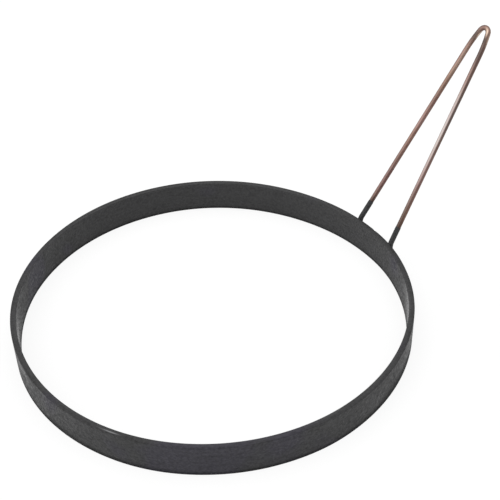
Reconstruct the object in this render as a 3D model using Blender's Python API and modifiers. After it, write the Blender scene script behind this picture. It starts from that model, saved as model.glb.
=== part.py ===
"""Egg ring: a coated steel hoop with a bent wire handle welded to its outside.

Units are metres and +Z is up. The hoop rests on z = 0 and the handle leaves it towards +X. The origin is
the middle of the whole object's footprint, so the hoop's own axis stands at x = HOOP_X.
"""
import math

import bpy
from mathutils import Vector

# Gap left between pieces that touch on the real object
CLEARANCE = 0.0003

# Hoop: flat strip rolled round and butted together behind the handle
HOOP_DIAMETER = 0.1524
HOOP_HEIGHT = 0.0132
HOOP_WALL = 0.0022
HOOP_EDGE_RADIUS = 0.0002
HOOP_SEGMENTS = 144
SEAM_GAP = 0.0015

# Handle: one wire, two feet on the hoop's outside, two legs that meet in a narrow tip
WIRE_DIAMETER = 0.002
FOOT_SPACING = 0.0205
FOOT_END_HEIGHT = 0.0015
FOOT_CORNER_DROP = 0.0006
FOOT_BEND_RADIUS = 0.004
HANDLE_RISE = math.radians(59.1)
HANDLE_LENGTH = 0.0912
SHOULDER_BEND_RADIUS = 0.046
SHOULDER_BEND_TURN = math.radians(11.0)
TIP_BEND_RADIUS = 0.0022
BEND_STEP = math.radians(10.0)
LEG_SPANS = 8

# Weld beads: one in the crotch on each side of each foot
BEAD_DIAMETER = 0.0011
BEAD_LENGTH = 0.006
BEAD_STATIONS = 9

HOOP_RADIUS = HOOP_DIAMETER / 2
WIRE_RADIUS = WIRE_DIAMETER / 2
BEAD_RADIUS = BEAD_DIAMETER / 2
FOOT_DISTANCE = HOOP_RADIUS + CLEARANCE + WIRE_RADIUS
FOOT_ANGLE = math.asin(FOOT_SPACING / 2 / FOOT_DISTANCE)
HANDLE_REACH = FOOT_DISTANCE * math.cos(FOOT_ANGLE) + HANDLE_LENGTH * math.cos(HANDLE_RISE) + WIRE_RADIUS
HOOP_X = (HOOP_RADIUS - HANDLE_REACH) / 2

COLLECTION = "egg_ring"
COAT_COLOUR = (0.055, 0.057, 0.060, 1.0)
COPPER_COLOUR = (0.50, 0.27, 0.19, 1.0)


def clear_scene():
    for item in list(bpy.data.objects):
        bpy.data.objects.remove(item, do_unlink=True)


def make_collection():
    collection = bpy.data.collections.new(COLLECTION)
    bpy.context.scene.collection.children.link(collection)
    return collection


def make_material(name, colour, roughness, metallic):
    material = bpy.data.materials.new(name)
    material.use_nodes = True
    shader = material.node_tree.nodes["Principled BSDF"]
    shader.inputs["Base Color"].default_value = colour
    shader.inputs["Roughness"].default_value = roughness
    shader.inputs["Metallic"].default_value = metallic
    return material


def round_the_hoop(radius, angle, height=0.0):
    """Point at a distance and angle from the hoop's axis, with angle 0 towards the handle."""
    return Vector((HOOP_X + radius * math.cos(angle), radius * math.sin(angle), height))


def strip_sector(name, start, sweep, segments, material, collection):
    """Stretch of the hoop's wall: a turned vertical line, thickened inwards, with its edges rounded."""
    mesh = bpy.data.meshes.new(name)
    top = Vector((HOOP_RADIUS * math.cos(start), HOOP_RADIUS * math.sin(start), HOOP_HEIGHT))
    bottom = Vector((top.x, top.y, 0.0))
    mesh.from_pydata([top, bottom], [(0, 1)], [])
    mesh.materials.append(material)
    strip = bpy.data.objects.new(name, mesh)
    strip.location = (HOOP_X, 0.0, 0.0)
    collection.objects.link(strip)

    turn = strip.modifiers.new("turn", "SCREW")
    turn.angle = sweep
    turn.steps = segments
    turn.render_steps = segments
    turn.use_merge_vertices = False
    turn.use_normal_calculate = False

    wall = strip.modifiers.new("wall", "SOLIDIFY")
    wall.thickness = HOOP_WALL
    wall.offset = -1.0

    rounding = strip.modifiers.new("rounding", "BEVEL")
    rounding.width = HOOP_EDGE_RADIUS
    rounding.segments = 2
    rounding.limit_method = "ANGLE"
    rounding.angle_limit = math.radians(40.0)
    return strip


def make_band(collection, coat):
    gap = 2 * math.asin(SEAM_GAP / 2 / HOOP_RADIUS)
    strip_sector("band", gap / 2, 2 * math.pi - gap, HOOP_SEGMENTS, coat, collection)


def make_seam_weld(collection, coat):
    width = SEAM_GAP - 2 * CLEARANCE
    sweep = 2 * math.asin(width / 2 / HOOP_RADIUS)
    strip_sector("band_seam_weld", -sweep / 2, sweep, 1, coat, collection)


def wire(name, points, radii, material, collection, resolution):
    """Round bar along a list of points, with its own radius at each point and closed ends."""
    curve = bpy.data.curves.new(name, "CURVE")
    curve.dimensions = "3D"
    curve.bevel_depth = 1.0
    curve.bevel_resolution = resolution
    curve.use_fill_caps = True
    spline = curve.splines.new("POLY")
    spline.points.add(len(points) - 1)
    for spot, point, radius in zip(spline.points, points, radii):
        spot.co = (*point, 1.0)
        spot.radius = radius
    curve.materials.append(material)
    bar = bpy.data.objects.new(name, curve)
    collection.objects.link(bar)
    return bar


def rounded_corner(before, corner, after, radius):
    """Points of the arc that replaces a sharp corner between two straight runs."""
    incoming = (corner - before).normalized()
    outgoing = (after - corner).normalized()
    turn = incoming.angle(outgoing)
    inward = (outgoing - incoming * incoming.dot(outgoing)).normalized()
    start = corner - incoming * radius * math.tan(turn / 2)
    steps = max(2, math.ceil(turn / BEND_STEP))
    arc = []
    for step in range(steps + 1):
        angle = turn * step / steps
        arc.append(start + incoming * radius * math.sin(angle) + inward * radius * (1 - math.cos(angle)))
    return arc


def leg_outline():
    """Half of the handle in its own plane, from the foot's corner to the tip, as (along, across) pairs.

    A straight leg leans inwards by an angle lean, a long shoulder bend turns it further by
    SHOULDER_BEND_TURN, and the tight tip bend takes it the rest of the way to the middle line. lean is
    the one angle with which the three stretches end on the middle line at HANDLE_LENGTH.
    """
    half = FOOT_SPACING / 2
    to_tip_centre = HANDLE_LENGTH - TIP_BEND_RADIUS
    offset = SHOULDER_BEND_RADIUS - (SHOULDER_BEND_RADIUS - TIP_BEND_RADIUS) * math.cos(SHOULDER_BEND_TURN)
    lean = math.acos(offset / math.hypot(half, to_tip_centre)) - math.atan2(to_tip_centre, half)
    shoulder_end = lean + SHOULDER_BEND_TURN

    shoulder_along = SHOULDER_BEND_RADIUS * (math.sin(shoulder_end) - math.sin(lean))
    tip_along = TIP_BEND_RADIUS * (1 - math.sin(shoulder_end))
    leg_length = (HANDLE_LENGTH - shoulder_along - tip_along) / math.cos(lean)

    outline = []
    for span in range(LEG_SPANS + 1):
        reach = leg_length * span / LEG_SPANS
        outline.append((reach * math.cos(lean), half - reach * math.sin(lean)))
    heading = lean
    for radius, turn in ((SHOULDER_BEND_RADIUS, SHOULDER_BEND_TURN), (TIP_BEND_RADIUS, math.pi / 2 - shoulder_end)):
        along, across = outline[-1]
        steps = max(3, math.ceil(turn / BEND_STEP))
        for step in range(1, steps + 1):
            angle = heading + turn * step / steps
            outline.append((
                along + radius * (math.sin(angle) - math.sin(heading)),
                across - radius * (math.cos(heading) - math.cos(angle)),
            ))
        heading += turn
    return outline


def make_handle(collection, copper):
    foot = round_the_hoop(FOOT_DISTANCE, FOOT_ANGLE)
    corner_height = HOOP_HEIGHT - FOOT_CORNER_DROP
    outline = leg_outline()
    side = []
    for along, across in outline:
        side.append(Vector((
            foot.x + along * math.cos(HANDLE_RISE),
            across,
            corner_height + along * math.sin(HANDLE_RISE),
        )))
    foot_end = Vector((foot.x, foot.y, FOOT_END_HEIGHT))
    side = [foot_end] + rounded_corner(foot_end, side[0], side[1], FOOT_BEND_RADIUS) + side[1:]
    other_side = [Vector((point.x, -point.y, point.z)) for point in reversed(side[:-1])]
    points = side + other_side
    wire("handle_wire", points, [WIRE_RADIUS] * len(points), copper, collection, 3)


def make_foot_welds(collection, coat):
    """Fillet beads that lie against the hoop and against the foot, one on each side of each foot."""
    bead_distance = HOOP_RADIUS + CLEARANCE + BEAD_RADIUS
    apart = WIRE_RADIUS + CLEARANCE + BEAD_RADIUS
    cosine = (FOOT_DISTANCE**2 + bead_distance**2 - apart**2) / (2 * FOOT_DISTANCE * bead_distance)
    step_round = math.acos(cosine)
    bottom = FOOT_END_HEIGHT + (HOOP_HEIGHT - FOOT_END_HEIGHT - BEAD_LENGTH) / 2
    for foot_name, foot_side in (("left", 1), ("right", -1)):
        for bead_name, bead_side in (("outer", 1), ("inner", -1)):
            angle = foot_side * (FOOT_ANGLE + bead_side * step_round)
            points = []
            radii = []
            for station in range(BEAD_STATIONS):
                swing = math.pi * (station + 0.5) / BEAD_STATIONS
                share = (1 - math.cos(swing)) / 2
                points.append(round_the_hoop(bead_distance, angle, bottom + BEAD_LENGTH * share))
                radii.append(BEAD_RADIUS * math.sin(swing) ** 0.5)
            wire(f"foot_weld_{foot_name}_{bead_name}", points, radii, coat, collection, 2)


def shade(collection):
    for item in collection.objects:
        if item.type == "MESH":
            item.data.shade_smooth()


def main():
    clear_scene()
    collection = make_collection()
    coat = make_material("black_coat", COAT_COLOUR, 0.5, 0.0)
    copper = make_material("copper_plate", COPPER_COLOUR, 0.35, 1.0)
    make_band(collection, coat)
    make_seam_weld(collection, coat)
    make_handle(collection, copper)
    make_foot_welds(collection, coat)
    shade(collection)


main()
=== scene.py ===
"""Looks of the egg ring: the coated hoop, the copper-plated wire handle with coated feet, and its welds.

Lengths are metres, +Z is up, and the handle leaves the hoop towards +X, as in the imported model. Angles round
the hoop start at +X, where the seam is, and run towards +Y. The left foot and leg are those on the +Y side.
"""

import math

import bpy
import numpy as np
from mathutils import Matrix, Vector


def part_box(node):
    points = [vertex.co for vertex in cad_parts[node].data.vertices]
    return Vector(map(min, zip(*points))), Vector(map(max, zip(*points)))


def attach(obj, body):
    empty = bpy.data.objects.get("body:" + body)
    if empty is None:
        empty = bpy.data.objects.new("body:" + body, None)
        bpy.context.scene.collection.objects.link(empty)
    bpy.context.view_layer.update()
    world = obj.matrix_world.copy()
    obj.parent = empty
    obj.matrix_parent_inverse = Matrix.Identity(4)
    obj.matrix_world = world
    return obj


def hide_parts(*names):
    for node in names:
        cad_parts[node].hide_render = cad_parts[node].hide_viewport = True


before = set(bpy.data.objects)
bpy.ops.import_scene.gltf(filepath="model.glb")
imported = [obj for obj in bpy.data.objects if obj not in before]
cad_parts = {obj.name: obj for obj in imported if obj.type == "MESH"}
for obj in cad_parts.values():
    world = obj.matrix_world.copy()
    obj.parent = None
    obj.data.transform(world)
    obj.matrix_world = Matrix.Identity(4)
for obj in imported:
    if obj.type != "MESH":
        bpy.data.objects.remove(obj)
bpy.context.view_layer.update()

# Hoop
HOOP_RADIUS = 0.0762
HOOP_WALL = 0.0022
HOOP_EDGE_RADIUS = 0.0002
HOOP_LOW, HOOP_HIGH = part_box("band")
HOOP_X = HOOP_LOW.x + HOOP_RADIUS
RIM = HOOP_HIGH.z
HOOP_STATIONS = 640
EDGE_POINTS = 6
WALL_STEPS = 20
RIM_STEPS = 8

# How the hoop runs out of round: a cosine with three lobes, and bells. Each bell has its angle and spread in
# degrees, and how far it moves the rim and the base outwards.
HOOP_LOBES = 3
HOOP_LOBE_HEIGHT = 0.00018
HOOP_LOBE_ANGLE = math.radians(-26.2)
HOOP_KINKS = (
    (-9.0, 9.0, 0.00024, 0.00024),
    (28.0, 18.0, -0.00028, -0.00028),
    (68.0, 18.0, 0.00016, 0.00016),
    (96.0, 22.0, 0.00016, -0.00011),
    (120.0, 13.0, 0.00004, -0.00009),
    (152.0, 21.0, 0.00018, -0.00009),
    (172.0, 25.0, -0.00010, -0.00010),
    (204.0, 14.0, -0.00004, -0.00013),
    (238.0, 13.0, -0.00001, -0.00008),
    (272.0, 9.0, 0.00004, 0.00014),
    (296.0, 14.0, -0.00006, -0.00002),
    (330.0, 18.0, 0.00004, 0.00014),
)

# Seam, ground flush: a dip in the outside and the rim. SEAM_STATIONS lie up to SEAM_FINE radians on both
# sides of it, and the hoop's even stations keep SEAM_COARSE away from it.
SEAM_DIP = 0.0001
SEAM_WIDTH = 0.0008
SEAM_FINE = 0.03
SEAM_COARSE = 0.04
SEAM_STATIONS = 61
RIM_DIP_DEPTH = 0.001

# Painted shade along the hoop's edges, a dark line for the contact shadow at the lower corners and the shade
# at the rim's outer corner: the distances from the corner where it starts to fade and where it ends
OUTER_EDGE_BAND = (0.0006, 0.0022)
INNER_EDGE_BAND = (0.0004, 0.0018)
RIM_EDGE_BAND = (0.0002, 0.0006)
RIM_EDGE_STRENGTH = 0.2
# Where that painted shade reaches higher up the outside, for the darker floor reflected low on the hoop's
# sides: angle and spread in degrees, and how much higher
WIDER_EDGES = (
    (197.0, 9.0, 0.0012),
    (306.0, 16.0, 0.0036),
)

# Arcs on the coat, each a painted highlight that is also smoother: angle and spread in degrees, depth into
# the wall, height, width, and how much paler, the painted highlight, and how much smoother they are. A
# distance across the wall counts three times in the width.
ARC_DEPTH_WEIGHT = 3.0
GLOSSY_HIGHLIGHT_ARCS = (
    (210.8, 1.5, 0.0008, RIM, 0.0006, 0.3, 0.1),
    (214.0, 1.9, 0.00075, RIM, 0.0005, 1.7, 0.6),
    (178.0, 4.0, 0.0, 0.0105, 0.0020, 0.2, 0.15),
    (323.5, 7.0, HOOP_WALL, 0.0118, 0.0018, 0.35, 0.35),
    (322.0, 7.0, HOOP_WALL, 0.0080, 0.0038, 0.08, 0.35),
    (161.0, 5.5, HOOP_WALL, 0.0080, 0.0034, 0.12, 0.45),
    (268.0, 35.0, 0.0016, RIM, 0.0024, 0.03, 0.0),
)

# Handle
WIRE_RADIUS = 0.001
FOOT_SPACING = 0.0205
FOOT_END_HEIGHT = 0.0015
FOOT_CORNER_DROP = 0.0006
FOOT_BEND_RADIUS = 0.004
FOOT_CLEARANCE = 0.00005
HANDLE_RISE = math.radians(59.1)
HANDLE_LENGTH = 0.0912
SHOULDER_BEND_RADIUS = 0.046
SHOULDER_BEND_TURN = math.radians(11.0)
TIP_BEND_RADIUS = 0.0022
FOOT_DISTANCE = HOOP_RADIUS + WIRE_RADIUS + FOOT_CLEARANCE
FOOT_ANGLE = math.asin(FOOT_SPACING / 2 / FOOT_DISTANCE)
LEG_POINTS = 40
BEND_STEPS = 24
CORNER_STEPS = 16
WIRE_SIDES = 32
WIRE_STEP = 0.0004
WIRE_END_LENGTH = 0.0005
WIRE_END_LOSS = 0.4

# Marks on the wire: painted highlights, painted shade and painted glints. Each starts with its leg, 1 for the
# left and -1 for the right, the distance of its middle from that foot's end, and its spread along the wire.
# Painted highlights and painted shade then have their strength on the handle's upper side and their strength
# below. One passes into the other between the two cosines of UPPER_SIDE, for the angle from the upper side.
UPPER_SIDE = (0.55, 0.97)
# Painted highlights along the wire
WIRE_HIGHLIGHTS = (
    (-1, 0.059, 0.017, 0.72, 0.03),
    (-1, 0.075, 0.004, 0.20, 0.0),
)
# Painted shade on stretches of the wire, on its upper side and below
WIRE_SHADES = (
    (-1, 0.0935, 0.0060, 0.90, 0.35),
    (-1, 0.0985, 0.0015, 0.60, 0.0),
    (-1, 0.069, 0.021, 0.0, 0.80),
    (-1, 0.025, 0.010, 0.70, 0.20),
    (1, 0.0985, 0.0032, 0.90, 0.50),
    (1, 0.070, 0.006, 0.30, 0.0),
    (1, 0.040, 0.008, 0.35, 0.25),
)
# Painted glints have, after those three, their angle from the upper side towards +Y, its spread, both in
# degrees, and their strength
WIRE_GLINTS = (
    (-1, 0.1016, 0.0014, -16.0, 21.0, 0.85),
    (-1, 0.0990, 0.0025, -95.0, 30.0, 0.35),
    (1, 0.0995, 0.0016, -88.0, 24.0, 0.8),
    (1, 0.0865, 0.0075, -50.0, 28.0, 0.35),
)
# Lengths over which the stain from the dipping fades up the legs
STAIN_FADE_LEFT = 0.0045
STAIN_FADE_RIGHT = 0.0030

# Coat on the feet. Past its edge it sinks into the wire by COAT_SINK of its thickness, and it is closed
# COAT_OVERRUN above the edge.
COAT_THICKNESS = 0.0001
COAT_END_LEFT = 0.0199
COAT_END_RIGHT = 0.0187
COAT_END_WAVE = 0.00025
COAT_END_TAPER = 0.0004
COAT_PHASE_LEFT = 0.4
COAT_PHASE_RIGHT = 2.1
COAT_SINK = 0.6
COAT_OVERRUN = 0.0012
COAT_CAP_START = -0.0003
COAT_CAP_END = 0.0006

# Weld beads, with how far each lies aside of the foot's middle and out from the hoop
BEAD_HEIGHT = 0.006
BEAD_RADIUS = 0.0007
BEAD_RIPPLES = 7
BEAD_RIPPLE_DEPTH = 0.05
BEAD_END_RADIUS = 1e-6
BEAD_ASIDE = 0.00125
BEAD_OUT = 0.00025
BEAD_STATIONS = 61
BEAD_SIDES = 24

# Coat's finish. Scales count a pattern's cells in a metre, weights add patterns up, and a tone or a hue is a
# share between two colours.
STREAK_SCALE_ALONG = 110.0
STREAK_SCALE_ACROSS = 1500.0
CLOUD_SCALE = 95.0
GRAIN_SCALE = 1000.0
PEBBLE_SCALE = 1800.0
SHEEN_SCALE = 900.0
TONE_WEIGHTS = (0.32, 0.15, 0.53)
GLOSS_WEIGHTS = (0.3, 0.7)
RELIEF_WEIGHTS = (1.0, 0.5)
PATTERN_RANGE = (0.36, 0.64)
STREAK_RANGE = (0.35, 0.6)
# Share of the painted highlight on the arcs that is left between the streaks
HIGHLIGHT_BETWEEN_STREAKS = 0.5
# Painted light that lifts the shade of the inner wall: full deeper than the first depth from the outside, gone
# by the second, and its share of the tone
INNER_WALL_DEPTHS = (0.0015, 0.0007)
INNER_WALL_LIGHT = 0.22
SATIN_ROUGHNESS = (0.29, 0.67)
# Painted shade along the edges: how far it darkens the coat, and how much duller the edges are
EDGE_SHADE_DARKNESS = 0.4
EDGE_LINE_ROUGHNESS = 0.5
LEAST_ROUGHNESS = 0.12
COAT_IOR = 1.35
PEBBLE_BUMP = {"Strength": 0.5, "Distance": 0.0003}
COAT_COLOURS = ((0.0180, 0.0179, 0.0183, 1), (0.0425, 0.0423, 0.0433, 1))
VIOLET_COLOURS = ((0.0186, 0.0176, 0.0234, 1), (0.0436, 0.0412, 0.0525, 1))
# Colour of the painted shade along the edges
EDGE_SHADE_COLOUR = (0.003, 0.003, 0.003, 1)
# Colour of the painted highlight on the arcs
COAT_HIGHLIGHT_COLOUR = (0.20, 0.20, 0.205, 1)
# Violet patches: their scale and shift, the pattern's values where they begin and are full, and the side of
# the hoop that has them. Towards that side the pattern is raised, by amounts that go from the first to the
# second of VIOLET_RISE as the cosine of the angle from it goes through VIOLET_ARC.
VIOLET_SCALE = 42.0
VIOLET_SHIFT = (0.05, -0.02, 0.01)
VIOLET_RANGE = (0.49, 0.58)
VIOLET_ANGLE = math.radians(250.0)
VIOLET_SIDE = (math.cos(VIOLET_ANGLE) / HOOP_RADIUS, math.sin(VIOLET_ANGLE) / HOOP_RADIUS, 0.0)
VIOLET_ARC = (0.55, 0.90)
VIOLET_RISE = (-0.12, 0.02)

# Copper's finish. Scales are those across the wire, twice, and along it.
LINE_SCALE = (2400.0, 2400.0, 60.0)
PATCH_SCALE = (500.0, 500.0, 150.0)
HUE_SCALE = (0.0, 0.0, 45.0)
HUE_RANGE = (0.40, 0.60)
# Painted light on the handle's upper side of the wire: the height across the wire, in radii, where it begins,
# and how much it raises the tone
UPPER_SIDE_START = 0.4
UPPER_SIDE_LIGHT = 0.5
TONE_RANGE = (0.38, 1.05)
LINE_RANGE = (0.35, 0.6)
LINE_STRENGTH = 0.3
# Painted highlight on the wire: how much of it is left between the drawn lines
HIGHLIGHT_LINE_RANGE = (0.3, 0.6)
HIGHLIGHT_BETWEEN_LINES = 0.8
COPPER_ROUGHNESS = (0.40, 0.30)
LINE_BUMP = {"Strength": 0.4, "Distance": 0.00001}
PINKISH_COLOURS = ((0.176, 0.090, 0.079, 1), (0.365, 0.236, 0.216, 1))
BROWNISH_COLOURS = ((0.180, 0.092, 0.066, 1), (0.368, 0.236, 0.186, 1))
LINE_COLOUR = (0.12, 0.074, 0.064, 1)
# Colour of the painted shade on the wire
WIRE_SHADE_COLOUR = (0.108, 0.082, 0.071, 1)
# Colour of the painted highlight on the wire
COPPER_HIGHLIGHT_COLOUR = (0.64, 0.585, 0.56, 1)
# Colour of the painted glints
GLINT_COLOUR = (0.80, 0.64, 0.50, 1)
STAIN_COLOUR = (0.058, 0.044, 0.038, 1)
STAIN_STRENGTH = 0.8

# Camera
CAMERA_PLACE = Vector((-0.16903, -0.27533, 0.28185))
CAMERA_AIM = Vector((0.00232, 0.01625, 0.013))
CAMERA_ROLL = math.radians(-1.157)
CAMERA_LENS = 77.65
CAMERA_SENSOR = 36.0
CAMERA_NEAR = 0.01

# Light: the room's level, then its soft lights as (level, azimuth, elevation, cosine where it starts)
ROOM_LEVEL = 0.6
SOFT_LIGHTS = (
    (0.8, 160.0, 22.0, 0.45),
    (0.2, 330.0, 30.0, 0.6),
    (0.8, 0.0, 90.0, 0.5),
)
WHITE = (1, 1, 1, 1)
FLOOR_RADIUS = 3.0
FLOOR_HEIGHT = -0.0001
FLOOR_SIDES = 96
FLOOR_COLOUR = (0.85, 0.85, 0.85, 1.0)
FLOOR_GLOW_SEEN = 0.8
FLOOR_GLOW_MIRRORED = 0.1
FLOOR_GLOW_LEVEL = 1.06


def smoothstep(low, high, value):
    """0 below low, 1 above high, and the cubic 3t^2 - 2t^3 between them."""
    share = np.clip((value - low) / (high - low), 0.0, 1.0)
    return share * share * (3 - 2 * share)


def bell(value, middle, spread):
    """1 at the middle, falling off on both sides as exp(-t^2) with t the distance in spreads."""
    return np.exp(-((value - middle) / spread) ** 2)


def bell_round(angle, middle, spread):
    """The same bell for angles: angle in radians, middle and spread in degrees."""
    return bell((np.degrees(angle) - middle + 180) % 360, 180.0, spread)


def turns(count):
    """So many angles round a circle, as one row."""
    return np.linspace(0, 2 * math.pi, count, endpoint=False)[None, :]


def surface(name, points, material, wrap_rows=False, cap_rows=False, attributes=None):
    """Mesh of a grid of points, one row for each step along the piece and one column for each step round it.

    The columns join up, the rows do so where wrap_rows says, and cap_rows closes each end row with a fan.
    attributes gives each point a number, or three, under a name that a material reads.
    """
    rows, columns = points.shape[:2]
    index = np.arange(rows * columns).reshape(rows, columns)
    next_row = np.roll(index, -1, axis=0)
    next_column = np.roll(index, -1, axis=1)
    next_both = np.roll(next_row, -1, axis=1)
    quads = np.stack([index, next_column, next_both, next_row], axis=-1)
    if not wrap_rows:
        quads = quads[:-1]
    vertices = points.reshape(-1, 3)
    faces = quads.reshape(-1, 4).tolist()
    if cap_rows:
        first, last = len(vertices), len(vertices) + 1
        vertices = np.concatenate([vertices, points[:1].mean(axis=1), points[-1:].mean(axis=1)])
        start = np.stack([np.full(columns, first), next_column[0], index[0]], axis=-1)
        end = np.stack([np.full(columns, last), index[-1], next_column[-1]], axis=-1)
        faces += start.tolist() + end.tolist()
    mesh = bpy.data.meshes.new(name)
    mesh.from_pydata(vertices.tolist(), [], faces)
    mesh.shade_smooth()
    mesh.materials.append(material)
    for title, values in (attributes or {}).items():
        if cap_rows:
            values = np.concatenate([values.reshape(rows * columns, -1), values[0, :1], values[-1, :1]])
        kind, field = ("FLOAT", "value") if values.shape[-1] == 1 else ("FLOAT_VECTOR", "vector")
        layer = mesh.attributes.new(title, kind, "POINT")
        layer.data.foreach_set(field, values.astype(np.float32).ravel())
    piece = bpy.data.objects.new(name, mesh)
    bpy.context.scene.collection.objects.link(piece)
    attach(piece, "root")
    return piece


def strip_section():
    """Outline of the strip's cut end as (depth into the wall, height).

    It is four straight sides, whose points crowd together towards their ends, and four quarter circles of
    HOOP_EDGE_RADIUS, and runs up the outside, over the rim, down the inside and back below.
    """
    quarter = np.linspace(0, math.pi / 2, EDGE_POINTS)
    edge = HOOP_EDGE_RADIUS
    corners = (
        (edge, RIM - edge, math.pi),
        (HOOP_WALL - edge, RIM - edge, math.pi / 2),
        (HOOP_WALL - edge, edge, 0.0),
        (edge, edge, -math.pi / 2),
    )
    runs = []
    for depth, height, start in corners:
        angle = start - quarter
        runs.append(np.stack([depth + edge * np.cos(angle), height + edge * np.sin(angle)], axis=-1))
    section = []
    for run, following in zip(runs, runs[1:] + runs[:1]):
        section.append(run)
        steps = WALL_STEPS if np.linalg.norm(following[0] - run[-1]) > HOOP_WALL else RIM_STEPS
        share = (1 - np.cos(np.linspace(0, math.pi, steps + 1)))[1:-1, None] / 2
        section.append(run[-1] + (following[0] - run[-1]) * share)
    return np.concatenate(section)


def edge_marks(depth, height, angle):
    """How dark each point of the hoop is from the painted shade along its edges, how pale from the painted
    highlight of the arcs, and how smoothed it is.

    The painted shade fades with the distance from the lower corners, further up the outside at the places
    that WIDER_EDGES lists, and is fainter at the outer rim corner.
    Each arc is a bell of the angle times a bell of the distance from its place on the section, once with its
    strength in colour, the painted highlight, and once with its strength in gloss.
    """
    # Painted shade along the edges
    outer_end = OUTER_EDGE_BAND[1]
    for middle, spread, extra in WIDER_EDGES:
        outer_end = outer_end + extra * bell_round(angle, middle, spread)
    outer = 1 - smoothstep(OUTER_EDGE_BAND[0], outer_end, np.hypot(depth, height))
    inner = 1 - smoothstep(*INNER_EDGE_BAND, np.hypot(HOOP_WALL - depth, height))
    outer_rim = RIM_EDGE_STRENGTH * (1 - smoothstep(*RIM_EDGE_BAND, np.hypot(depth, RIM - height)))
    line = np.maximum(np.maximum(outer, inner), outer_rim)
    # Painted highlight of the arcs, and how much smoother they are
    painted_highlight, smoothed = 0 * angle, 0 * angle
    for middle, spread, arc_depth, arc_height, width, paler, smoother in GLOSSY_HIGHLIGHT_ARCS:
        away = np.hypot(ARC_DEPTH_WEIGHT * (depth - arc_depth), height - arc_height)
        place = bell_round(angle, middle, spread) * bell(away, 0.0, width)
        painted_highlight = painted_highlight + paler * place
        smoothed = smoothed + smoother * place
    return {"edge_shade": line + 0 * angle, "painted_highlight": painted_highlight, "smoothed": smoothed}


def make_hoop(material):
    """Strip section carried round the hoop's axis.

    The radius swells by a cosine of HOOP_LOBES times the angle and by the bells of HOOP_KINKS. A bell's
    height changes evenly from the base to the rim, so the wall leans a little where the two differ. At angle
    0 the outside and the rim sink by a bell, the dip of the ground seam.
    """
    seam = np.linspace(-SEAM_FINE, SEAM_FINE, SEAM_STATIONS)
    rest = np.linspace(SEAM_COARSE, 2 * math.pi - SEAM_COARSE, HOOP_STATIONS)
    angle = np.unique(np.concatenate([rest, seam % (2 * math.pi)]))[:, None]
    depth, height = strip_section().T
    marks = {title: values[:, ::-1, None] for title, values in edge_marks(depth, height, angle).items()}
    swell = HOOP_LOBE_HEIGHT * np.cos(HOOP_LOBES * (angle - HOOP_LOBE_ANGLE))
    for middle, spread, at_rim, at_base in HOOP_KINKS:
        rise = at_base + (at_rim - at_base) * height / RIM
        swell = swell + rise * bell_round(angle, middle, spread)
    from_seam = np.minimum(angle, 2 * math.pi - angle) * HOOP_RADIUS
    dip = SEAM_DIP * bell(from_seam, 0.0, SEAM_WIDTH)
    outside = 1 - smoothstep(0.0, HOOP_WALL, depth)
    radius = HOOP_RADIUS + swell - depth - dip * outside
    height = height - dip * smoothstep(RIM - RIM_DIP_DEPTH, RIM, height)
    points = np.stack([HOOP_X + radius * np.cos(angle), radius * np.sin(angle), height], axis=-1)
    hoop = surface("coated_hoop", points[:, ::-1], material, wrap_rows=True, attributes=marks)
    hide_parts("band", "band_seam_weld")


def arc(start, heading, turn, radius):
    """Points of a plane arc that starts at a point with a heading and bends by turn, and its end heading."""
    angle = heading + turn * np.linspace(0, 1, BEND_STEPS + 1)[1:]
    along = start[0] + radius * (np.sin(angle) - math.sin(heading))
    across = start[1] - radius * (math.cos(heading) - np.cos(angle))
    return np.stack([along, across], axis=-1), heading + turn


def leg_outline():
    """Half of the handle in its own plane, from the foot's corner to the tip, as (along, across) pairs.

    A straight leg leans inwards by an angle lean, a long shoulder bend turns it further, and the tight tip
    bend takes it the rest of the way. lean is the angle with which all three end on the middle line.
    """
    half = FOOT_SPACING / 2
    to_tip_centre = HANDLE_LENGTH - TIP_BEND_RADIUS
    offset = SHOULDER_BEND_RADIUS - (SHOULDER_BEND_RADIUS - TIP_BEND_RADIUS) * math.cos(SHOULDER_BEND_TURN)
    lean = math.acos(offset / math.hypot(half, to_tip_centre)) - math.atan2(to_tip_centre, half)
    shoulder_end = lean + SHOULDER_BEND_TURN
    shoulder_along = SHOULDER_BEND_RADIUS * (math.sin(shoulder_end) - math.sin(lean))
    tip_along = TIP_BEND_RADIUS * (1 - math.sin(shoulder_end))
    leg_length = (HANDLE_LENGTH - shoulder_along - tip_along) / math.cos(lean)
    steps = np.linspace(0, leg_length, LEG_POINTS)[:, None]
    leg = steps * (math.cos(lean), -math.sin(lean)) + (0.0, half)
    shoulder, heading = arc(leg[-1], lean, SHOULDER_BEND_TURN, SHOULDER_BEND_RADIUS)
    tip, _ = arc(shoulder[-1], heading, math.pi / 2 - heading, TIP_BEND_RADIUS)
    return np.concatenate([leg, shoulder, tip])


def rounded_corner(before, corner, after, radius):
    """Points of the arc that replaces a sharp corner between two straight runs."""
    incoming = (corner - before) / np.linalg.norm(corner - before)
    outgoing = (after - corner) / np.linalg.norm(after - corner)
    turn = math.acos(incoming @ outgoing)
    inward = outgoing - incoming * (incoming @ outgoing)
    inward /= np.linalg.norm(inward)
    start = corner - incoming * radius * math.tan(turn / 2)
    angle = turn * np.linspace(0, 1, CORNER_STEPS + 1)[:, None]
    return start + incoming * radius * np.sin(angle) + inward * radius * (1 - np.cos(angle))


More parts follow.
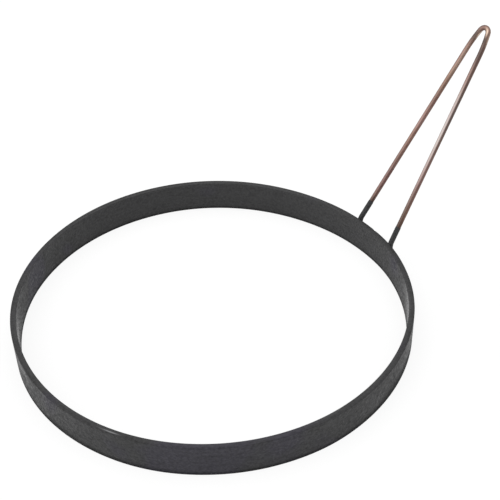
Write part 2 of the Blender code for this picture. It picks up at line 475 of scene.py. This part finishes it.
def wire_centreline():
    """Points at WIRE_STEP along the wire, from the left foot's end over the tip to the right foot's end, and
    each point's distance along the wire."""
    outline = leg_outline()
    foot_x = HOOP_X + FOOT_DISTANCE * math.cos(FOOT_ANGLE)
    corner_height = RIM - FOOT_CORNER_DROP
    side = np.stack([
        foot_x + outline[:, 0] * math.cos(HANDLE_RISE),
        outline[:, 1],
        corner_height + outline[:, 0] * math.sin(HANDLE_RISE),
    ], axis=-1)
    foot_end = np.array([foot_x, FOOT_SPACING / 2, FOOT_END_HEIGHT])
    corner = rounded_corner(foot_end, side[0], side[1], FOOT_BEND_RADIUS)
    side = np.concatenate([[foot_end], corner, side[2:]])
    path = np.concatenate([side, side[-2::-1] * (1, -1, 1)])
    length = np.concatenate([[0], np.cumsum(np.linalg.norm(np.diff(path, axis=0), axis=1))])
    stations = np.linspace(0, length[-1], int(length[-1] / WIRE_STEP) + 1)
    return np.stack([np.interp(stations, length, path[:, k]) for k in range(3)], axis=-1), stations


def sweep(path, radius):
    """Circles of the given radii carried along a path, each square to it.

    radius has a row for each point of the path and a column for each side, and the circles' first direction
    is square to the handle's plane.
    """
    ahead = np.gradient(path, axis=0)
    ahead /= np.linalg.norm(ahead, axis=1)[:, None]
    plane = np.array([-math.sin(HANDLE_RISE), 0.0, math.cos(HANDLE_RISE)])
    across = np.cross(ahead, plane)
    across /= np.linalg.norm(across, axis=1)[:, None]
    above = np.cross(across, ahead)
    turn = turns(radius.shape[1])[..., None]
    ring = np.cos(turn) * above[:, None, :] + np.sin(turn) * across[:, None, :]
    return path[:, None, :] + radius[:, :, None] * ring


def wire_marks(table, to_end, left, upper):
    """Sum of a table's marks at each point of the wire. A mark is a bell of the distance from its leg's foot
    end, with one strength on the upper side of the handle and one on the lower."""
    total = 0.0
    for leg, place, spread, above, below in table:
        along = bell(to_end, place, spread) * (left == (leg > 0))
        total = total + along[:, None] * (below + (above - below) * upper)
    return np.clip(total, 0.0, 1.0)


def glint_spots(to_end, left, turn):
    """Sum of the painted glints: each is a bell along the wire times a bell round it."""
    towards_left = np.where(left, -1, 1)[:, None] * np.sin(turn)
    side = np.degrees(np.arctan2(towards_left, np.cos(turn)))
    total = 0.0
    for leg, place, spread, facing, facing_spread, strength in WIRE_GLINTS:
        along = strength * bell(to_end, place, spread) * (left == (leg > 0))
        total = total + along[:, None] * bell(side, facing, facing_spread)
    return total


def make_wire(material, path, stations):
    """Round wire along its centreline. Over WIRE_END_LENGTH its cut ends turn in, and lose WIRE_END_LOSS of
    their area.

    straight_place is each point's place on the wire before it was bent, with +X on the upper side of the
    handle. dip_stain is 1 at the coat's edge and falls off exponentially up the leg, more slowly on the left
    leg. The two tables of marks give the painted highlight and the painted shade, and the painted glints have
    an attribute of their own.
    """
    to_end = np.minimum(stations, stations[-1] - stations)
    end_share = 1 - smoothstep(0.0, WIRE_END_LENGTH, to_end)
    radius = np.repeat((WIRE_RADIUS * np.sqrt(1 - WIRE_END_LOSS * end_share))[:, None], WIRE_SIDES, axis=1)
    turn = turns(WIRE_SIDES)
    straight = np.stack([radius * np.cos(turn), radius * np.sin(turn), stations[:, None] + 0 * turn], axis=-1)
    left = stations < stations[-1] / 2
    above_coat = np.maximum(to_end - np.where(left, COAT_END_LEFT, COAT_END_RIGHT), 0)
    stain = np.exp(-above_coat / np.where(left, STAIN_FADE_LEFT, STAIN_FADE_RIGHT))[:, None] + 0 * turn
    upper = smoothstep(*UPPER_SIDE, np.cos(turn))
    attributes = {
        "straight_place": straight,
        "dip_stain": stain[..., None],
        "painted_highlight": wire_marks(WIRE_HIGHLIGHTS, to_end, left, upper)[..., None],
        "painted_shade": wire_marks(WIRE_SHADES, to_end, left, upper)[..., None],
        "painted_glint": glint_spots(to_end, left, turn)[..., None],
    }
    points = sweep(path, radius)
    wire = surface("copper_wire", points, material, cap_rows=True, attributes=attributes)
    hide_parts("handle_wire")


def make_foot_coat(name, material, path, coat_end, phase):
    """Skin of coat round a foot: the wire's circles grown by COAT_THICKNESS, with a rounded cap at the foot's
    end. It thins to nothing at coat_end, along a line with two waves and five smaller ones round the wire,
    and is then closed inside the wire."""
    stations = np.arange(len(path)) * WIRE_STEP
    keep = stations < coat_end + COAT_OVERRUN
    stations = stations[keep][:, None]
    turn = turns(WIRE_SIDES)
    edge = coat_end + COAT_END_WAVE * (np.sin(2 * turn + phase) + 0.5 * np.sin(5 * turn + 2 * phase)) / 1.5
    thinning = smoothstep(edge - COAT_END_TAPER, edge + COAT_END_TAPER, stations)
    thickness = COAT_THICKNESS * (1 - (1 + COAT_SINK) * thinning)
    ending = np.sqrt(1 - (1 - smoothstep(COAT_CAP_START, COAT_CAP_END, stations)) ** 2)
    points = sweep(path[keep], (WIRE_RADIUS + thickness) * ending)
    surface(name, points, material, cap_rows=True)


def make_bead(name, node_name, material, foot_side, bead_side):
    """Weld bead in the crotch between foot and hoop: upright circles whose radius follows the square root of
    a half sine, with BEAD_RIPPLES shallow waves along it."""
    share = np.linspace(0, 1, BEAD_STATIONS)[:, None]
    turn = turns(BEAD_SIDES)
    swing = np.sqrt(np.clip(np.sin(math.pi * share), 0, 1))
    ripple = 1 + BEAD_RIPPLE_DEPTH * np.cos(2 * math.pi * BEAD_RIPPLES * share)
    radius = BEAD_RADIUS * swing * ripple + BEAD_END_RADIUS
    angle = foot_side * (FOOT_ANGLE + bead_side * BEAD_ASIDE / FOOT_DISTANCE)
    distance = HOOP_RADIUS + BEAD_OUT
    low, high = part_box(node_name)
    centre_x = HOOP_X + distance * math.cos(angle)
    centre_y = distance * math.sin(angle)
    height = (low.z + high.z) / 2 + BEAD_HEIGHT * (share - 0.5) + 0 * turn
    points = np.stack([centre_x + radius * np.cos(turn), centre_y + radius * np.sin(turn), height], axis=-1)
    bead = surface(name, points, material, cap_rows=True)
    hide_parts(node_name)


def node(tree, kind, inputs=None, **settings):
    """Adds a node with its settings. Each input, by name or number, is linked or set to a value."""
    made = tree.nodes.new(kind)
    for title, value in settings.items():
        setattr(made, title, value)
    for key, value in (inputs or {}).items():
        if isinstance(value, bpy.types.NodeSocket):
            tree.links.new(value, made.inputs[key])
        else:
            made.inputs[key].default_value = value
    return made


def noise(tree, place, scale, detail=2.0, roughness=0.5):
    """Noise about 0.5, with so many finer layers as detail says, each with roughness of the one before."""
    inputs = {"Vector": place, "Scale": scale, "Detail": detail, "Roughness": roughness}
    return node(tree, "ShaderNodeTexNoise", inputs).outputs["Fac"]


def remap(tree, value, low, high, to_low, to_high):
    """Straight line from to_low, at low and before it, to to_high, at high and past it."""
    inputs = {"Value": value, "From Min": low, "From Max": high, "To Min": to_low, "To Max": to_high}
    return node(tree, "ShaderNodeMapRange", inputs).outputs["Result"]


def calculate(tree, operation, first, second=0.0):
    """Result of a sum, product or other operation on two numbers."""
    return node(tree, "ShaderNodeMath", {0: first, 1: second}, operation=operation).outputs[0]


def add_up(tree, patterns, weights):
    """Sum of the patterns, each times its weight."""
    parts = [calculate(tree, "MULTIPLY", pattern, weight) for pattern, weight in zip(patterns, weights)]
    total = parts[0]
    for part in parts[1:]:
        total = calculate(tree, "ADD", total, part)
    return total


def mix_colours(tree, share, first, second):
    """First colour at share 0 and second colour at share 1."""
    inputs = {"Factor": share, 6: first, 7: second}
    return node(tree, "ShaderNodeMix", inputs, data_type="RGBA").outputs[2]


def stretch(tree, place, factors):
    """Place with each coordinate times its own factor."""
    return node(tree, "ShaderNodeVectorMath", {0: place, 1: factors}, operation="MULTIPLY").outputs[0]


def mark(tree, title):
    """A mesh attribute that holds one number for each point."""
    return node(tree, "ShaderNodeAttribute", attribute_name=title).outputs["Fac"]


def new_material(name):
    """A new material with its nodes and its shader."""
    material = bpy.data.materials.new(name)
    material.use_nodes = True
    return material, material.node_tree, material.node_tree.nodes["Principled BSDF"]


def coat_material():
    """Charcoal non-stick coat: a satin black with faint streaks along the strip, a fine pebbled skin and soft
    cloudy changes of gloss.

    A streak keeps its height on a wall and its radius on the rim, so its pattern changes fast with radius
    plus height and slowly along the strip. Streaks, clouds and grains add up to the tone, which is a little
    paler on the inner wall, painted light that lifts its shade. One side of the hoop has faint violet patches.
    The painted shade along the edges is darker and duller, and the arcs of painted highlight are paler, most
    of all on the streaks. The gloss follows the clouds and a fine noise of its own, and the smoothed arcs are
    glossier.
    """
    material, tree, shader = new_material("charcoal_coat")
    place = node(tree, "ShaderNodeTexCoord").outputs["Object"]
    centred = node(tree, "ShaderNodeMapping", {"Vector": place, "Location": (-HOOP_X, 0.0, 0.0)}).outputs[0]
    flat = stretch(tree, centred, (1.0, 1.0, 0.0))
    radius = node(tree, "ShaderNodeVectorMath", {0: flat}, operation="LENGTH").outputs["Value"]
    height = node(tree, "ShaderNodeSeparateXYZ", {0: centred}).outputs["Z"]
    fast = calculate(tree, "MULTIPLY", calculate(tree, "ADD", radius, height), STREAK_SCALE_ACROSS)
    slow_place = stretch(tree, flat, (STREAK_SCALE_ALONG, STREAK_SCALE_ALONG, 0.0))
    slow = node(tree, "ShaderNodeSeparateXYZ", {0: slow_place}).outputs
    streak_place = node(tree, "ShaderNodeCombineXYZ", {0: slow["X"], 1: slow["Y"], 2: fast}).outputs[0]
    streaks = noise(tree, streak_place, 1.0, 3.0, 0.6)
    clouds = noise(tree, centred, CLOUD_SCALE, 3.0)
    grains = noise(tree, centred, GRAIN_SCALE, 2.0, 0.6)
    pebbles = noise(tree, centred, PEBBLE_SCALE, 1.0)
    sheen = noise(tree, centred, SHEEN_SCALE, 2.0, 0.6)
    edge_shade, painted_highlight, smoothed = (mark(tree, title) for title in ("edge_shade", "painted_highlight", "smoothed"))

    mottle = remap(tree, add_up(tree, (streaks, clouds, grains), TONE_WEIGHTS), *PATTERN_RANGE, 0.0, 1.0)
    # Painted light on the inner wall, which lifts its shade
    inner_start, inner_end = (HOOP_RADIUS - depth for depth in INNER_WALL_DEPTHS)
    inner_wall_light = remap(tree, radius, inner_start, inner_end, INNER_WALL_LIGHT, 0.0)
    tone = calculate(tree, "ADD", mottle, inner_wall_light)
    patch_place = node(tree, "ShaderNodeMapping", {"Vector": centred, "Location": VIOLET_SHIFT}).outputs[0]
    facing = node(tree, "ShaderNodeVectorMath", {0: centred, 1: VIOLET_SIDE}, operation="DOT_PRODUCT")
    side = remap(tree, facing.outputs["Value"], *VIOLET_ARC, *VIOLET_RISE)
    violet_patches = calculate(tree, "ADD", noise(tree, patch_place, VIOLET_SCALE, 1.0), side)
    hue = remap(tree, violet_patches, *VIOLET_RANGE, 0.0, 1.0)
    neutral = mix_colours(tree, tone, *COAT_COLOURS)
    violet = mix_colours(tree, tone, *VIOLET_COLOURS)
    colour = mix_colours(tree, hue, neutral, violet)
    # Painted shade along the edges
    darkening = calculate(tree, "MULTIPLY", edge_shade, EDGE_SHADE_DARKNESS)
    lined = mix_colours(tree, darkening, colour, EDGE_SHADE_COLOUR)
    # Painted highlight on the arcs, strongest on the streaks
    streaky = remap(tree, streaks, *STREAK_RANGE, HIGHLIGHT_BETWEEN_STREAKS, 1.0)
    coat_highlight = calculate(tree, "MULTIPLY", painted_highlight, streaky)
    tree.links.new(mix_colours(tree, coat_highlight, lined, COAT_HIGHLIGHT_COLOUR), shader.inputs["Base Color"])

    satin = remap(tree, add_up(tree, (clouds, sheen), GLOSS_WEIGHTS), *PATTERN_RANGE, *SATIN_ROUGHNESS)
    dulling = calculate(tree, "MULTIPLY", edge_shade, EDGE_LINE_ROUGHNESS)
    roughness = calculate(tree, "SUBTRACT", calculate(tree, "ADD", satin, dulling), smoothed)
    tree.links.new(calculate(tree, "MAXIMUM", roughness, LEAST_ROUGHNESS), shader.inputs["Roughness"])
    shader.inputs["IOR"].default_value = COAT_IOR

    relief = add_up(tree, (grains, pebbles), RELIEF_WEIGHTS)
    bump = node(tree, "ShaderNodeBump", {**PEBBLE_BUMP, "Height": relief})
    tree.links.new(bump.outputs[0], shader.inputs["Normal"])
    return material


def copper_material():
    """Copper-plated wire with drawn lines along it.

    Its tone follows fine patches and is paler on the handle's upper side, painted light, and its hue
    changes slowly along the wire between a pinkish and a brownish copper. Over that lie, one above the other,
    the drawn lines, the painted shade and the painted highlight on stretches of the wire, the painted glints,
    and the dark stain from the dipping just above the coat.
    """
    material, tree, shader = new_material("aged_copper")
    straight = node(tree, "ShaderNodeAttribute", attribute_name="straight_place").outputs["Vector"]
    lines = noise(tree, stretch(tree, straight, LINE_SCALE), 1.0, 2.0)
    patches = noise(tree, stretch(tree, straight, PATCH_SCALE), 1.0, 4.0, 0.6)
    hues = noise(tree, stretch(tree, straight, HUE_SCALE), 1.0, 1.0)

    above = node(tree, "ShaderNodeSeparateXYZ", {0: straight}).outputs["X"]
    # Painted light: the handle's upper side of the wire is paler
    upper = remap(tree, above, UPPER_SIDE_START * WIRE_RADIUS, WIRE_RADIUS, 0.0, UPPER_SIDE_LIGHT)
    tone = remap(tree, calculate(tree, "ADD", patches, upper), *TONE_RANGE, 0.0, 1.0)
    pinkish = mix_colours(tree, tone, *PINKISH_COLOURS)
    brownish = mix_colours(tree, tone, *BROWNISH_COLOURS)
    colour = mix_colours(tree, remap(tree, hues, *HUE_RANGE, 0.0, 1.0), pinkish, brownish)
    lined = mix_colours(tree, remap(tree, lines, *LINE_RANGE, LINE_STRENGTH, 0.0), colour, LINE_COLOUR)
    # Painted shade on stretches of the wire
    painted_shade = mix_colours(tree, mark(tree, "painted_shade"), lined, WIRE_SHADE_COLOUR)
    # Painted highlight on the wire, fainter between the drawn lines
    scratched = remap(tree, lines, *HIGHLIGHT_LINE_RANGE, HIGHLIGHT_BETWEEN_LINES, 1.0)
    copper_highlight = calculate(tree, "MULTIPLY", mark(tree, "painted_highlight"), scratched)
    painted_highlight = mix_colours(tree, copper_highlight, painted_shade, COPPER_HIGHLIGHT_COLOUR)
    # Painted glints
    painted_glint = mix_colours(tree, mark(tree, "painted_glint"), painted_highlight, GLINT_COLOUR)
    stain = calculate(tree, "MULTIPLY", mark(tree, "dip_stain"), STAIN_STRENGTH)
    tree.links.new(mix_colours(tree, stain, painted_glint, STAIN_COLOUR), shader.inputs["Base Color"])
    tree.links.new(remap(tree, tone, 0.0, 1.0, *COPPER_ROUGHNESS), shader.inputs["Roughness"])
    shader.inputs["Metallic"].default_value = 1.0

    bump = node(tree, "ShaderNodeBump", {**LINE_BUMP, "Height": lines})
    tree.links.new(bump.outputs[0], shader.inputs["Normal"])
    return material


def floor_material():
    """Pale matte paper that shows as white where the camera, a gloss or a clear piece sees it, and still
    keeps a soft shadow."""
    material = bpy.data.materials.new("white_paper")
    material.use_nodes = True
    tree = material.node_tree
    tree.nodes.remove(tree.nodes["Principled BSDF"])
    paper = node(tree, "ShaderNodeBsdfDiffuse", {"Color": FLOOR_COLOUR}).outputs[0]
    glow = node(tree, "ShaderNodeEmission", {"Color": WHITE, "Strength": FLOOR_GLOW_LEVEL}).outputs[0]
    ray = node(tree, "ShaderNodeLightPath").outputs
    mirrored = calculate(tree, "MAXIMUM", ray["Is Glossy Ray"], ray["Is Transmission Ray"])
    share = calculate(
        tree, "MAXIMUM",
        calculate(tree, "MULTIPLY", ray["Is Camera Ray"], FLOOR_GLOW_SEEN),
        calculate(tree, "MULTIPLY", mirrored, FLOOR_GLOW_MIRRORED),
    )
    mix = node(tree, "ShaderNodeMixShader", {0: share, 1: paper, 2: glow}).outputs[0]
    tree.links.new(mix, tree.nodes["Material Output"].inputs["Surface"])
    return material


def make_floor():
    """Round floor, a hair below the object's base."""
    bpy.ops.mesh.primitive_circle_add(
        vertices=FLOOR_SIDES, radius=FLOOR_RADIUS, fill_type="NGON", location=(0, 0, FLOOR_HEIGHT))
    floor = bpy.context.object
    floor.name = "floor"
    floor.data.materials.append(floor_material())


def make_sky():
    """White where the camera looks past the floor.

    What lights the ring is a pale room with broad soft lights, each of which swells smoothly towards its
    middle: a large one low on the left, a faint one on the right and one overhead.
    """
    world = bpy.data.worlds.new("studio")
    bpy.context.scene.world = world
    world.use_nodes = True
    tree = world.node_tree
    way = node(tree, "ShaderNodeTexCoord").outputs["Generated"]
    level = ROOM_LEVEL
    for strength, azimuth, elevation, start in SOFT_LIGHTS:
        turn, rise = math.radians(azimuth), math.radians(elevation)
        middle = (math.cos(rise) * math.cos(turn), math.cos(rise) * math.sin(turn), math.sin(rise))
        towards = node(tree, "ShaderNodeVectorMath", {0: way, 1: middle}, operation="DOT_PRODUCT")
        swell = {"Value": towards.outputs["Value"], "From Min": start, "To Max": strength}
        light = node(tree, "ShaderNodeMapRange", swell, interpolation_type="SMOOTHSTEP").outputs["Result"]
        level = calculate(tree, "ADD", light, level)
    lit = tree.nodes["Background"]
    lit.inputs["Color"].default_value = WHITE
    tree.links.new(level, lit.inputs["Strength"])
    seen = node(tree, "ShaderNodeBackground", {"Color": WHITE}).outputs[0]
    camera_ray = node(tree, "ShaderNodeLightPath").outputs["Is Camera Ray"]
    mix = node(tree, "ShaderNodeMixShader", {0: camera_ray, 1: lit.outputs[0], 2: seen}).outputs[0]
    tree.links.new(mix, tree.nodes["World Output"].inputs["Surface"])


def make_camera():
    """Camera at the photograph's viewing angle, aimed at CAMERA_AIM and rolled about its own axis."""
    camera_data = bpy.data.cameras.new("camera")
    camera_data.lens = CAMERA_LENS
    camera_data.sensor_width = CAMERA_SENSOR
    camera_data.clip_start = CAMERA_NEAR
    camera = bpy.data.objects.new("camera", camera_data)
    turn = (CAMERA_AIM - CAMERA_PLACE).to_track_quat("-Z", "Y").to_matrix()
    turn = turn @ Matrix.Rotation(CAMERA_ROLL, 3, "Z")
    camera.matrix_world = Matrix.Translation(CAMERA_PLACE) @ turn.to_4x4()
    bpy.context.scene.collection.objects.link(camera)
    bpy.context.scene.camera = camera


def build():
    """Camera, light and floor, and then the object's own pieces."""
    bpy.context.scene.view_settings.view_transform = "Standard"
    make_camera()
    make_sky()
    make_floor()

    coat = coat_material()
    copper = copper_material()
    make_hoop(coat)
    path, stations = wire_centreline()
    make_wire(copper, path, stations)
    make_foot_coat("foot_coat_left", coat, path, COAT_END_LEFT, COAT_PHASE_LEFT)
    make_foot_coat("foot_coat_right", coat, path[::-1], COAT_END_RIGHT, COAT_PHASE_RIGHT)
    for foot_name, foot_side in (("left", 1), ("right", -1)):
        for bead_name, bead_side in (("outer", 1), ("inner", -1)):
            name = f"{foot_name}_{bead_name}"
            make_bead(f"weld_bead_{name}", f"foot_weld_{name}", coat, foot_side, bead_side)


build()
